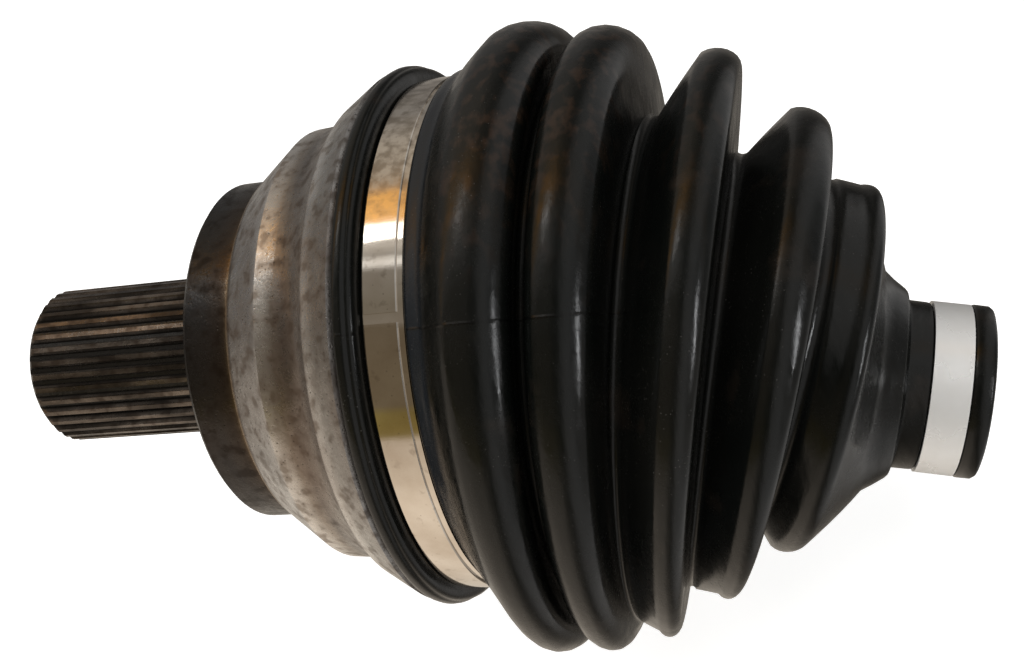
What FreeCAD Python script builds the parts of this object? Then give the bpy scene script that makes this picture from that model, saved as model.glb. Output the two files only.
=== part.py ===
"""Outer constant-velocity joint of a front drive shaft, with its bellows boot.

The frame has its origin in the middle of the hub shoulder, the flat face that seats on the wheel
hub. +X runs along the bell's own axis towards the boot and +Z is up. All lengths are millimetres
and all angles degrees. The shaft bar is articulated at rest: it pivots about +Y through the joint
centre, so its far end droops to -Z. Pieces that turn with the bar are modelled along +X, as in a
straight joint, and are then tilted about the joint centre.
"""

import FreeCAD, Part
import math
import os

from FreeCAD import Vector

X_AXIS = Vector(1, 0, 0)
Y_AXIS = Vector(0, 1, 0)
FULL_TURN = 360.0

# Joint kinematics
JOINT_CENTRE_X = 36.0
REST_ARTICULATION = 14.0
BALL_COUNT = 6
BALL_RADIUS = 8.25
BALL_CIRCLE_RADIUS = 28.8
TRACK_OFFSET = 3.5
TRACK_RADIUS = math.hypot(BALL_CIRCLE_RADIUS, TRACK_OFFSET)
BELL_TRACK_CLEARANCE = 0.12
RACE_TRACK_CLEARANCE = 0.32
RACE_CLEARANCE = 0.3
WINDOW_CLEARANCE = 0.35
CUT_MARGIN = 1.0

# Splined stub and hub shoulder
STUB_LENGTH = 40.4
STUB_TEETH = 36
STUB_TIP_RADIUS = 13.9
STUB_ROOT_RADIUS = 12.8
STUB_CHAMFER = 1.1
STUB_RELIEF_LENGTH = 1.6
STUB_RELIEF_DEPTH = 0.25
ROOT_RECESS_MARGIN = 0.7
ROOT_RECESS_DEPTH = 0.6
TOOTH_ROOT_SHARE = 0.36
TOOTH_TIP_SHARE = 0.17
THREAD_BORE_RADIUS = 7.19
THREAD_BORE_DEPTH = 33.0
THREAD_COUNTERSINK = 1.4
DRILL_POINT = 4.2

# Bell, outside
MOUTH_WALL = 2.12
BOOT_SEAT_RADIUS = TRACK_RADIUS + BALL_RADIUS + BELL_TRACK_CLEARANCE + MOUTH_WALL
MOUTH_X = 46.0
MOUTH_CHAMFER = 0.8
RIM_X = 32.6
RIM_HEIGHT = 5.4
RIM_RADIUS = BOOT_SEAT_RADIUS + RIM_HEIGHT
RIM_CHAMFER = 0.5
RIM_BACK_X = 33.2
FLARE_X = 26.8
FLARE_DROP = 3.6
FLARE_RADIUS = RIM_RADIUS - FLARE_DROP
VALLEY_X = 20.3
VALLEY_DROP = 3.9
VALLEY_RADIUS = FLARE_RADIUS - VALLEY_DROP
VALLEY_SAG = 0.8
SHOULDER_X = 17.0
SHOULDER_DROP = 0.2
SHOULDER_RADIUS = VALLEY_RADIUS - SHOULDER_DROP
SEAL_SEAT_RADIUS = 29.5
SEAL_SEAT_LENGTH = 8.3
SEAL_SEAT_CHAMFER = 0.7
SEAT_GROOVE_WIDTH = 0.7
SEAT_GROOVE_DEPTH = 0.7
NECK_RADIUS = 31.2

# Bell, inside
CAVITY_FLOOR_X = 10.5
TRACK_END_X = 15.0

# Cage and inner race
CAGE_WALL_OUTSIDE = 2.8
CAGE_WALL_INSIDE = 2.0
CAGE_OUTER_RADIUS = BALL_CIRCLE_RADIUS + CAGE_WALL_OUTSIDE
CAGE_INNER_RADIUS = BALL_CIRCLE_RADIUS - CAGE_WALL_INSIDE
CAGE_HALF_WIDTH = 12.5
WINDOW_HALF_LENGTH = 9.9
WINDOW_CORNER_RADIUS = 3.0
INNER_RACE_HALF_WIDTH = 10.5

# Shaft bar, its spline and what is on it
BAR_RADIUS = 11.0
BAR_TEETH = 28
BAR_TIP_RADIUS = 12.7
BAR_ROOT_RADIUS = 11.7
BAR_INNER_END = -12.8
BAR_CHAMFER = 1.0
BAR_COLLAR_RADIUS = 14.2
BAR_COLLAR_WIDTH = 3.0
BAR_TAPER_LENGTH = 6.0
CENTRE_DRILL_RADIUS = 3.0
CENTRE_DRILL_DEPTH = 5.0
CIRCLIP_WIDTH = 1.7
CIRCLIP_INNER_RADIUS = 11.1
CIRCLIP_OUTER_RADIUS = 13.3
CIRCLIP_GAP_ANGLE = 50.0
CIRCLIP_CLEARANCE = 0.1
THRUST_WASHER_WIDTH = 2.0
THRUST_WASHER_RADIUS = 16.5
DISHED_WASHER_RADIUS = 16.8
DISHED_WASHER_THICKNESS = 1.2
DISHED_WASHER_RISE = 1.3

# Boot
BOOT_WALL = 2.0
BOOT_RIM_GAP = 0.1
BOOT_START_X = RIM_BACK_X + BOOT_RIM_GAP
BOOT_BAND_WALL = 2.5
BOOT_BAND_RADIUS = BOOT_SEAT_RADIUS + BOOT_BAND_WALL
BOOT_LIP_HEIGHT = 3.6
BOOT_LIP_RADIUS = BOOT_BAND_RADIUS + BOOT_LIP_HEIGHT
BOOT_LIP_WIDTH = 3.8
BOOT_LIP_BEVEL = 0.9
BOOT_SHOULDER_HEIGHT = 1.6
BOOT_SHOULDER_RADIUS = BOOT_BAND_RADIUS + BOOT_SHOULDER_HEIGHT
BOOT_SHOULDER_WIDTH = 1.0
BOOT_NECK_START = 74.1
BOOT_NECK_PLAIN = 3.5
BOOT_NECK_RADIUS = 13.7
BOOT_LIP_LENGTH = 3.3
BOOT_NECK_BAND_RADIUS = 13.1
BOOT_GRIP_CLEARANCE = 0.15
BOOT_CONE_START = 69.8
BOOT_CONE_RADIUS = 18.2
BOOT_CONE_END = 73.6
BOOT_CONE_END_RADIUS = 15.4

# The boot is drawn straight, in shares of its largest crest's radius, with X from the joint centre.
# Each fold: X, radius and roundness of its crest, how far its centre sinks below the bell's axis
# when the boot bends, and the lean of its plane in degrees.
BOOT_CREST_RADIUS = 52.1
BOOT_FOLDS = (
    (0.349, 1.0, 0.083, 0.046, 3.0),
    (0.540, 0.983, 0.072, 0.072, 5.0),
    (0.781, 0.921, 0.046, 0.120, 12.1),
    (0.983, 0.775, 0.050, 0.183, 17.5),
    (1.155, 0.589, 0.060, 0.259, 23.2),
)
# Each valley after its fold: X, radius, and how far its centre sinks below the folds' centre line.
BOOT_VALLEYS = (
    (0.439, 0.825, 0.0),
    (0.644, 0.805, 0.117),
    (0.852, 0.691, 0.100),
    (1.057, 0.548, -0.033),
)
# Where the first flank begins, in the valleys' terms.
BOOT_FLANK = (0.194, 0.871, 0.034)
# Share of a valley's sink that the inside leaves out, where pressed folds make one thick wall.
PRESSED_SHARE = 0.4
VALLEY_ROUNDNESS = 0.9
VALLEY_SWEEP = 55.0
VALLEY_STEPS = 3
CREST_STEPS = 5
CREST_LEAST_BEND = 0.6

# Clamps
BAND_THICKNESS = 0.75
LARGE_BAND_MARGIN = 0.25
SMALL_BAND_MARGIN = 0.25
LARGE_BAND_WIDTH = 6.3
LARGE_EAR_HEIGHT = 4.2
LARGE_EAR_WIDTH = 9.5
SMALL_BAND_WIDTH = 6.0
SMALL_EAR_HEIGHT = 3.4
SMALL_EAR_WIDTH = 7.0
EAR_CROWN_OVERHANG = 0.6
EAR_PINCH = 0.5
EAR_ANGLE = 129.0

JOINT_CENTRE = Vector(JOINT_CENTRE_X, 0, 0)


def outline_face(points):
    """Makes a face in the XZ plane from a closed outline.

    Args:
        points: (x, r) corners in order. A corner with four numbers, (x, r, via_x, via_r), ends an
            arc that comes from the corner before it through the via point.

    Returns:
        The face, with r along +Z.
    """
    edges = []
    here = points[-1][:2]
    for point in points:
        start = Vector(here[0], 0, here[1])
        end = Vector(point[0], 0, point[1])
        if len(point) == 4:
            edges.append(Part.Arc(start, Vector(point[2], 0, point[3]), end).toShape())
        else:
            edges.append(Part.LineSegment(start, end).toShape())
        here = point[:2]
    return Part.Face(Part.Wire(edges))


def lathe(points):
    """Turns a closed (x, r) outline about the X axis into a solid."""
    return outline_face(points).revolve(Vector(0, 0, 0), X_AXIS, FULL_TURN)


def tube(start, end, inner, outer):
    """Makes a plain ring about the X axis between two stations."""
    return lathe([(start, inner), (start, outer), (end, outer), (end, inner)])


def disc(start, end, radius):
    """Makes a plain cylinder about the X axis between two stations."""
    return Part.makeCylinder(radius, end - start, Vector(start, 0, 0), X_AXIS)


def tilted(shape, angle):
    """Tilts a piece about +Y through the joint centre."""
    copy = shape.copy()
    copy.rotate(JOINT_CENTRE, Y_AXIS, angle)
    return copy


def spline_prism(teeth, root, tip, start, end):
    """Makes a toothed bar about the X axis, with flat-topped teeth between root and tip."""
    pitch = 2 * math.pi / teeth
    corners = []
    for tooth in range(teeth):
        for share, radius in ((-TOOTH_ROOT_SHARE, root), (-TOOTH_TIP_SHARE, tip),
                              (TOOTH_TIP_SHARE, tip), (TOOTH_ROOT_SHARE, root)):
            angle = (tooth + share) * pitch
            corners.append(Vector(start, radius * math.sin(angle), radius * math.cos(angle)))
    face = Part.Face(Part.makePolygon(corners + corners[:1]))
    return face.extrude(Vector(end - start, 0, 0))


def meridian_normal(azimuth):
    """Gives the unit vector across the plane through the X axis at an azimuth from +Z."""
    angle = math.radians(azimuth)
    return Vector(0, -math.cos(angle), math.sin(angle))


def track_rings(centre_x, start_x, end_x, clearance):
    """Makes the three rings that cut six opposite ball tracks.

    Args:
        centre_x: Centre of the tracks' circles on the X axis.
        start_x: Where the tracks begin.
        end_x: Where the tracks end.
        clearance: Room between a ball and its track.

    Returns:
        A list of solids to cut away.
    """
    reach = TRACK_RADIUS + 2 * BALL_RADIUS
    window = disc(start_x, end_x, reach)
    rings = []
    for index in range(BALL_COUNT // 2):
        normal = meridian_normal(index * FULL_TURN / BALL_COUNT)
        centre = Vector(centre_x, 0, 0)
        ring = Part.makeTorus(TRACK_RADIUS, BALL_RADIUS + clearance, centre, normal)
        rings.append(ring.common(window))
    return rings


def ball_centre(azimuth, articulation):
    """Finds where a ball lies in its outer track, on the plane that halves the articulation."""
    slope = math.cos(math.radians(azimuth)) * math.tan(math.radians(articulation / 2))
    square = 1 + slope * slope
    reach = math.sqrt((TRACK_OFFSET * slope) ** 2 + square * BALL_CIRCLE_RADIUS ** 2)
    radius = (TRACK_OFFSET * slope + reach) / square
    angle = math.radians(azimuth)
    return JOINT_CENTRE + Vector(radius * slope, radius * math.sin(angle), radius * math.cos(angle))


def sphere_radius_at(radius, distance):
    """Gives the radius of a sphere's slice at a distance from its centre."""
    return math.sqrt(radius * radius - distance * distance)


def joint_bell():
    """Makes the bell with its splined stub, seal seat, boot seat, races and threaded bore."""
    cavity = CAGE_OUTER_RADIUS + RACE_CLEARANCE
    floor_radius = sphere_radius_at(cavity, JOINT_CENTRE_X - CAVITY_FLOOR_X)
    mouth_radius = sphere_radius_at(cavity, MOUTH_X - JOINT_CENTRE_X)
    relief = STUB_ROOT_RADIUS - STUB_RELIEF_DEPTH
    recess = STUB_TIP_RADIUS + ROOT_RECESS_MARGIN
    groove_end = SEAL_SEAT_LENGTH + SEAT_GROOVE_WIDTH
    slope = math.atan2(FLARE_RADIUS - VALLEY_RADIUS, FLARE_X - VALLEY_X)
    via_x = (VALLEY_X + FLARE_X) / 2 + VALLEY_SAG * math.sin(slope)
    via_radius = (VALLEY_RADIUS + FLARE_RADIUS) / 2 - VALLEY_SAG * math.cos(slope)
    body = lathe([
        (-STUB_RELIEF_LENGTH, 0),
        (-STUB_RELIEF_LENGTH, relief),
        (ROOT_RECESS_DEPTH, relief),
        (ROOT_RECESS_DEPTH, recess),
        (0, recess),
        (0, SEAL_SEAT_RADIUS - SEAL_SEAT_CHAMFER),
        (SEAL_SEAT_CHAMFER, SEAL_SEAT_RADIUS),
        (SEAL_SEAT_LENGTH, SEAL_SEAT_RADIUS),
        (SEAL_SEAT_LENGTH, SEAL_SEAT_RADIUS - SEAT_GROOVE_DEPTH),
        (groove_end, SEAL_SEAT_RADIUS - SEAT_GROOVE_DEPTH),
        (groove_end, NECK_RADIUS),
        (SHOULDER_X, SHOULDER_RADIUS),
        (VALLEY_X, VALLEY_RADIUS),
        (FLARE_X, FLARE_RADIUS, via_x, via_radius),
        (RIM_X, RIM_RADIUS),
        (RIM_BACK_X, RIM_RADIUS - RIM_CHAMFER),
        (RIM_BACK_X, BOOT_SEAT_RADIUS),
        (MOUTH_X - MOUTH_CHAMFER, BOOT_SEAT_RADIUS),
        (MOUTH_X, BOOT_SEAT_RADIUS - MOUTH_CHAMFER),
        (MOUTH_X, mouth_radius),
        (CAVITY_FLOOR_X, floor_radius, JOINT_CENTRE_X, cavity),
        (CAVITY_FLOOR_X, 0),
    ])
    for ring in track_rings(JOINT_CENTRE_X + TRACK_OFFSET, TRACK_END_X, MOUTH_X + BALL_RADIUS,
                            BELL_TRACK_CLEARANCE):
        body = body.cut(ring)
    spline = spline_prism(STUB_TEETH, STUB_ROOT_RADIUS, STUB_TIP_RADIUS,
                          -STUB_LENGTH, -STUB_RELIEF_LENGTH)
    tip = lathe([
        (-STUB_LENGTH, 0),
        (-STUB_LENGTH, STUB_TIP_RADIUS - STUB_CHAMFER),
        (-STUB_LENGTH + STUB_CHAMFER, STUB_TIP_RADIUS),
        (-STUB_RELIEF_LENGTH, STUB_TIP_RADIUS),
        (-STUB_RELIEF_LENGTH, 0),
    ])
    bore_end = -STUB_LENGTH + THREAD_BORE_DEPTH
    bore = lathe([
        (-STUB_LENGTH, 0),
        (-STUB_LENGTH, THREAD_BORE_RADIUS + THREAD_COUNTERSINK),
        (-STUB_LENGTH + THREAD_COUNTERSINK, THREAD_BORE_RADIUS),
        (bore_end, THREAD_BORE_RADIUS),
        (bore_end + DRILL_POINT, 0),
    ])
    return body.fuse(spline.common(tip)).cut(bore).removeSplitter()


def cage():
    """Makes the ball cage: a spherical ring with six windows, half way between bell and bar."""
    ball = Part.makeSphere(CAGE_OUTER_RADIUS, JOINT_CENTRE)
    hollow = Part.makeSphere(CAGE_INNER_RADIUS, JOINT_CENTRE)
    slab = disc(JOINT_CENTRE_X - CAGE_HALF_WIDTH, JOINT_CENTRE_X + CAGE_HALF_WIDTH,
                CAGE_OUTER_RADIUS + BALL_RADIUS)
    body = ball.cut(hollow).common(slab)
    half_width = BALL_RADIUS + WINDOW_CLEARANCE
    corner = Vector(JOINT_CENTRE_X - half_width, -WINDOW_HALF_LENGTH, 0)
    window = Part.makeBox(2 * half_width, 2 * WINDOW_HALF_LENGTH, 2 * CAGE_OUTER_RADIUS, corner)
    upright = [edge for edge in window.Edges if abs(edge.tangentAt(edge.FirstParameter).z) > 0.5]
    window = window.makeFillet(WINDOW_CORNER_RADIUS, upright)
    for index in range(BALL_COUNT):
        cutter = window.copy()
        cutter.rotate(JOINT_CENTRE, X_AXIS, index * FULL_TURN / BALL_COUNT)
        body = body.cut(cutter)
    return tilted(body, REST_ARTICULATION / 2)


def bar_spline(margin=0.0):
    """Makes the toothed end of the bar, which also cuts the inner race's bore."""
    start = JOINT_CENTRE_X + BAR_INNER_END - margin
    end = JOINT_CENTRE_X + INNER_RACE_HALF_WIDTH + margin
    return spline_prism(BAR_TEETH, BAR_ROOT_RADIUS, BAR_TIP_RADIUS, start, end)


def circlip_slot(inner, outer):
    """Makes the ring-shaped slot that takes the circlip."""
    half = CIRCLIP_WIDTH / 2 + CIRCLIP_CLEARANCE
    return tube(JOINT_CENTRE_X - half, JOINT_CENTRE_X + half, inner, outer)


def inner_race():
    """Makes the inner race, with six tracks and a splined bore with the circlip's slot."""
    ball = Part.makeSphere(CAGE_INNER_RADIUS - RACE_CLEARANCE, JOINT_CENTRE)
    start = JOINT_CENTRE_X - INNER_RACE_HALF_WIDTH
    end = JOINT_CENTRE_X + INNER_RACE_HALF_WIDTH
    body = ball.common(disc(start, end, CAGE_INNER_RADIUS))
    for ring in track_rings(JOINT_CENTRE_X - TRACK_OFFSET, start - CUT_MARGIN, end + CUT_MARGIN,
                            RACE_TRACK_CLEARANCE):
        body = body.cut(ring)
    body = body.cut(bar_spline(margin=CUT_MARGIN))
    slot = circlip_slot(BAR_ROOT_RADIUS - CUT_MARGIN, CIRCLIP_OUTER_RADIUS + CIRCLIP_CLEARANCE)
    return tilted(body.cut(slot), REST_ARTICULATION)


def shaft_bar():
    """Makes the end of the bar, from its spline in the inner race to the boot's small lip."""
    spline_end = JOINT_CENTRE_X + INNER_RACE_HALF_WIDTH
    collar_start = spline_end + THRUST_WASHER_WIDTH + DISHED_WASHER_THICKNESS + DISHED_WASHER_RISE
    collar_end = collar_start + BAR_COLLAR_WIDTH
    bar_end = JOINT_CENTRE_X + BOOT_NECK_START + neck_length()
    body = lathe([
        (spline_end, 0),
        (spline_end, BAR_ROOT_RADIUS),
        (collar_start, BAR_ROOT_RADIUS),
        (collar_start, BAR_COLLAR_RADIUS),
        (collar_end, BAR_COLLAR_RADIUS),
        (collar_end + BAR_TAPER_LENGTH, BAR_RADIUS),
        (bar_end - BAR_CHAMFER, BAR_RADIUS),
        (bar_end, BAR_RADIUS - BAR_CHAMFER),
        (bar_end, CENTRE_DRILL_RADIUS),
        (bar_end - CENTRE_DRILL_DEPTH, 0),
    ])
    inner_end = JOINT_CENTRE_X + BAR_INNER_END
    tip = lathe([
        (inner_end, 0),
        (inner_end, BAR_TIP_RADIUS - BAR_CHAMFER),
        (inner_end + BAR_CHAMFER, BAR_TIP_RADIUS),
        (spline_end, BAR_TIP_RADIUS),
        (spline_end, 0),
    ])
    body = body.fuse(bar_spline().common(tip))
    slot = circlip_slot(CIRCLIP_INNER_RADIUS - CIRCLIP_CLEARANCE, BAR_TIP_RADIUS + CUT_MARGIN)
    return tilted(body.cut(slot).removeSplitter(), REST_ARTICULATION)


def circlip():
    """Makes the round-wire ring that locks the inner race on the bar, with its open gap down."""
    ring = outline_face([
        (JOINT_CENTRE_X - CIRCLIP_WIDTH / 2, CIRCLIP_INNER_RADIUS),
        (JOINT_CENTRE_X - CIRCLIP_WIDTH / 2, CIRCLIP_OUTER_RADIUS),
        (JOINT_CENTRE_X + CIRCLIP_WIDTH / 2, CIRCLIP_OUTER_RADIUS),
        (JOINT_CENTRE_X + CIRCLIP_WIDTH / 2, CIRCLIP_INNER_RADIUS),
    ]).revolve(JOINT_CENTRE, X_AXIS, FULL_TURN - CIRCLIP_GAP_ANGLE)
    ring.rotate(JOINT_CENTRE, X_AXIS, (FULL_TURN + CIRCLIP_GAP_ANGLE) / 2)
    return tilted(ring, REST_ARTICULATION)


def thrust_washer():
    """Makes the flat ring between the inner race and the dished washer."""
    start = JOINT_CENTRE_X + INNER_RACE_HALF_WIDTH
    ring = tube(start, start + THRUST_WASHER_WIDTH, BAR_ROOT_RADIUS, THRUST_WASHER_RADIUS)
    return tilted(ring, REST_ARTICULATION)


def dished_washer():
    """Makes the spring washer between the thrust washer and the bar's collar."""
    start = JOINT_CENTRE_X + INNER_RACE_HALF_WIDTH + THRUST_WASHER_WIDTH
    rise = DISHED_WASHER_RISE
    ring = lathe([
        (start + rise, BAR_ROOT_RADIUS),
        (start, DISHED_WASHER_RADIUS),
        (start + DISHED_WASHER_THICKNESS, DISHED_WASHER_RADIUS),
        (start + rise + DISHED_WASHER_THICKNESS, BAR_ROOT_RADIUS),
    ])
    return tilted(ring, REST_ARTICULATION)


def neck_length():
    """Gives the length of the boot's neck past its start: plain part, clamp's seat and lip."""
    return BOOT_NECK_PLAIN + SMALL_BAND_WIDTH + 2 * SMALL_BAND_MARGIN + BOOT_LIP_LENGTH


def ring_at(centre, lean, radius):
    """Makes a circle whose axis leans down from +X by an angle in the XZ plane.

    Args:
        centre: Its centre, as X and Z.
        lean: Angle of the axis below +X.
        radius: Radius of the circle.

    Returns:
        A closed wire that starts at the circle's top.
    """
    angle = math.radians(lean)
    axis = Vector(math.cos(angle), 0, -math.sin(angle))
    circle = Part.Circle(Vector(centre[0], 0, centre[1]), axis, radius)
    return Part.Wire([circle.toShape()])


def bar_point(distance):
    """Gives X and Z of the bar's axis, at a distance from the joint centre."""
    angle = math.radians(REST_ARTICULATION)
    return JOINT_CENTRE_X + distance * math.cos(angle), -distance * math.sin(angle)


def shaft_ring(distance, radius):
    """Makes a circle about the bar's axis, at a distance from the joint centre."""
    return ring_at(bar_point(distance), REST_ARTICULATION, radius)


def stations():
    """Lists where the boot's centre line passes: X in the straight boot, then X, Z and lean."""
    marks = [(x, x, 0.0, 0.0) for x in (BOOT_START_X, MOUTH_X)]
    for across, radius, roundness, sink, lean in BOOT_FOLDS:
        x = JOINT_CENTRE_X + across * BOOT_CREST_RADIUS
        marks.append((x, x, -sink * BOOT_CREST_RADIUS, lean))
    for distance in (BOOT_CONE_START, BOOT_NECK_START):
        x, z = bar_point(distance)
        marks.append((JOINT_CENTRE_X + distance, x, z, REST_ARTICULATION))
    return marks


def centre_line(x):
    """Reads X, Z and lean of the bent boot's centre line, by a smooth curve through the stations."""
    marks = stations()
    index = 1
    while index < len(marks) - 2 and x > marks[index][0]:
        index += 1
    before = marks[max(index - 2, 0)]
    here = marks[index - 1]
    there = marks[index]
    after = marks[min(index + 1, len(marks) - 1)]
    width = there[0] - here[0]
    share = (x - here[0]) / width
    square = share ** 2
    cube = share ** 3
    values = []
    for axis in (1, 2, 3):
        slope_here = (there[axis] - before[axis]) / (there[0] - before[0])
        slope_there = (after[axis] - here[axis]) / (after[0] - here[0])
        values.append((2 * cube - 3 * square + 1) * here[axis]
                      + (cube - 2 * square + share) * width * slope_here
                      + (3 * square - 2 * cube) * there[axis]
                      + (cube - square) * width * slope_there)
    return values


def bent_ring(x, radius, sink):
    """Makes a circle of the straight boot where the bent boot has it."""
    centre_x, centre_z, lean = centre_line(x)
    angle = math.radians(lean)
    centre = (centre_x - sink * math.sin(angle), centre_z - sink * math.cos(angle))
    return ring_at(centre, lean, radius)


def touch_angle(crest, bend, corner, side):
    """Finds where a straight flank from a corner touches a crest's arc.

    Args:
        crest: Centre of the arc, as X and radius.
        bend: Radius of the arc.
        corner: Where the flank starts.
        side: -1 for the flank on the bell's side and 1 for the one on the bar's.

    Returns:
        The angle on the arc, from straight out towards +X.
    """
    across = corner[0] - crest[0]
    up = corner[1] - crest[1]
    return math.atan2(across, up) - side * math.acos(bend / math.hypot(across, up))


def bellows_rings(inset):
    """Makes the circles along the five folds and the valleys between them.

    Args:
        inset: How far inside the outer skin the circles lie, 0 for the skin itself.

    Returns:
        A list of wires from the first fold to the last.
    """
    size = BOOT_CREST_RADIUS
    corners = [BOOT_FLANK] + list(BOOT_VALLEYS)
    corners = [(JOINT_CENTRE_X + across * size, radius * size, sink * size)
               for across, radius, sink in corners]
    corners.append((JOINT_CENTRE_X + BOOT_CONE_START, BOOT_CONE_RADIUS, 0.0))
    rings = []
    for index, (across, radius, roundness, _, _) in enumerate(BOOT_FOLDS):
        round_radius = roundness * size
        crest = (JOINT_CENTRE_X + across * size, radius * size - round_radius)
        first = touch_angle(crest, round_radius, corners[index], -1)
        last = touch_angle(crest, round_radius, corners[index + 1], 1)
        bend = max(round_radius - inset, CREST_LEAST_BEND)
        for step in range(CREST_STEPS):
            angle = first + (last - first) * step / (CREST_STEPS - 1)
            rings.append(bent_ring(crest[0] + bend * math.sin(angle),
                                   crest[1] + bend * math.cos(angle), 0.0))
        if index < len(BOOT_VALLEYS):
            x, depth, sink = corners[index + 1]
            bend = VALLEY_ROUNDNESS + inset
            if inset:
                depth -= PRESSED_SHARE * abs(sink)
                sink -= PRESSED_SHARE * sink
            for step in range(VALLEY_STEPS):
                angle = math.radians(VALLEY_SWEEP * (2 * step / (VALLEY_STEPS - 1) - 1))
                rings.append(bent_ring(x + bend * math.sin(angle),
                                       depth + VALLEY_ROUNDNESS - bend * math.cos(angle), sink))
    return rings


def boot():
    """Makes the rubber bellows between the bell's boot seat and the bar."""
    band_start = BOOT_START_X + BOOT_LIP_WIDTH
    band_end = band_start + LARGE_BAND_WIDTH + 2 * LARGE_BAND_MARGIN
    shoulder_end = band_end + BOOT_SHOULDER_WIDTH
    small_band_start = BOOT_NECK_START + BOOT_NECK_PLAIN
    small_band_end = small_band_start + SMALL_BAND_WIDTH + 2 * SMALL_BAND_MARGIN
    lip_end = BOOT_NECK_START + neck_length()
    collar = [
        (BOOT_START_X, BOOT_LIP_RADIUS - BOOT_LIP_BEVEL),
        (BOOT_START_X + BOOT_LIP_BEVEL, BOOT_LIP_RADIUS),
        (band_start - BOOT_LIP_BEVEL, BOOT_LIP_RADIUS),
        (band_start, BOOT_BAND_RADIUS),
        (band_end, BOOT_BAND_RADIUS),
        (band_end + BOOT_LIP_BEVEL, BOOT_SHOULDER_RADIUS),
        (shoulder_end, BOOT_SHOULDER_RADIUS),
    ]
    neck = [
        (BOOT_CONE_START, BOOT_CONE_RADIUS),
        (BOOT_CONE_END, BOOT_CONE_END_RADIUS),
        (BOOT_NECK_START, BOOT_NECK_RADIUS),
        (small_band_start, BOOT_NECK_RADIUS),
        (small_band_start + SMALL_BAND_MARGIN, BOOT_NECK_BAND_RADIUS),
        (small_band_end - SMALL_BAND_MARGIN, BOOT_NECK_BAND_RADIUS),
        (small_band_end, BOOT_NECK_RADIUS),
        (lip_end, BOOT_NECK_RADIUS),
    ]
    skin = [ring_at((x, 0), 0, radius) for x, radius in collar]
    skin.append(bent_ring(JOINT_CENTRE_X + BOOT_FLANK[0] * BOOT_CREST_RADIUS,
                          BOOT_FLANK[1] * BOOT_CREST_RADIUS, BOOT_FLANK[2] * BOOT_CREST_RADIUS))
    skin += bellows_rings(0)
    skin += [shaft_ring(distance, radius) for distance, radius in neck]
    bore = BAR_RADIUS + BOOT_GRIP_CLEARANCE
    hollow = [ring_at((x, 0), 0, BOOT_SEAT_RADIUS) for x in (BOOT_START_X, MOUTH_X)]
    hollow += bellows_rings(BOOT_WALL)
    hollow.append(shaft_ring(BOOT_CONE_START - BOOT_WALL / 2, BOOT_CONE_RADIUS - BOOT_WALL))
    hollow.append(shaft_ring(BOOT_NECK_START, bore))
    hollow.append(shaft_ring(lip_end, bore))
    outer = Part.makeLoft(skin, True, True)
    inner = Part.makeLoft(hollow, True, True)
    return outer.cut(inner)


def ear(radius, width, height, start, end):
    """Makes the pinched ear of a band clamp, on top of a band about the X axis."""
    foot = sphere_radius_at(radius, width / 2)
    middle = radius + height / 2
    top = radius + height
    thickness = BAND_THICKNESS
    side = width / 2
    waist = side - thickness
    crown = side + EAR_CROWN_OVERHANG
    half = [
        (waist, foot),
        (waist - EAR_PINCH, middle),
        (crown - 2 * thickness, top - thickness),
    ]
    skin = [
        (side, foot),
        (side - EAR_PINCH, middle),
        (crown, top - thickness),
        (crown - thickness, top),
    ]
    shape = [(-across, up) for across, up in skin] + skin[::-1]
    shape += half + [(-across, up) for across, up in half[::-1]]
    corners = [Vector(start, across, up) for across, up in shape]
    face = Part.Face(Part.makePolygon(corners + corners[:1]))
    return face.extrude(Vector(end - start, 0, 0))


def band_clamp(inner, start, end, ear_width, ear_height):
    """Makes a steel band clamp about the X axis, with its pinched ear at the back."""
    outer = inner + BAND_THICKNESS
    ring = tube(start, end, inner, outer)
    gap = ear_width - 2 * BAND_THICKNESS
    slot = Part.makeBox(end - start, gap, 2 * outer, Vector(start, -gap / 2, 0))
    clamp = ring.cut(slot).fuse(ear(outer, ear_width, ear_height, start, end)).removeSplitter()
    clamp.rotate(Vector(0, 0, 0), X_AXIS, -EAR_ANGLE)
    return clamp


def large_clamp():
    """Makes the clamp that holds the boot on the bell."""
    start = BOOT_START_X + BOOT_LIP_WIDTH + LARGE_BAND_MARGIN
    return band_clamp(BOOT_BAND_RADIUS, start, start + LARGE_BAND_WIDTH,
                      LARGE_EAR_WIDTH, LARGE_EAR_HEIGHT)


def small_clamp():
    """Makes the clamp that holds the boot's neck on the bar."""
    start = JOINT_CENTRE_X + BOOT_NECK_START + BOOT_NECK_PLAIN + SMALL_BAND_MARGIN
    inner = BOOT_NECK_BAND_RADIUS + BOOT_GRIP_CLEARANCE
    clamp = band_clamp(inner, start, start + SMALL_BAND_WIDTH, SMALL_EAR_WIDTH, SMALL_EAR_HEIGHT)
    return tilted(clamp, REST_ARTICULATION)


def ball(index):
    """Makes one of the six balls, where it lies at the rest articulation."""
    centre = ball_centre(index * FULL_TURN / BALL_COUNT, REST_ARTICULATION)
    return Part.makeSphere(BALL_RADIUS, centre)


def pieces():
    """Gives every piece of the joint by its name."""
    named = {
        "joint_bell": joint_bell(),
        "ball_cage": cage(),
        "inner_race": inner_race(),
        "shaft_bar": shaft_bar(),
        "race_circlip": circlip(),
        "thrust_washer": thrust_washer(),
        "dished_washer": dished_washer(),
        "boot": boot(),
        "large_clamp": large_clamp(),
        "small_clamp": small_clamp(),
    }
    for index in range(BALL_COUNT):
        named["ball_%d" % (index + 1)] = ball(index)
    return named


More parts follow.
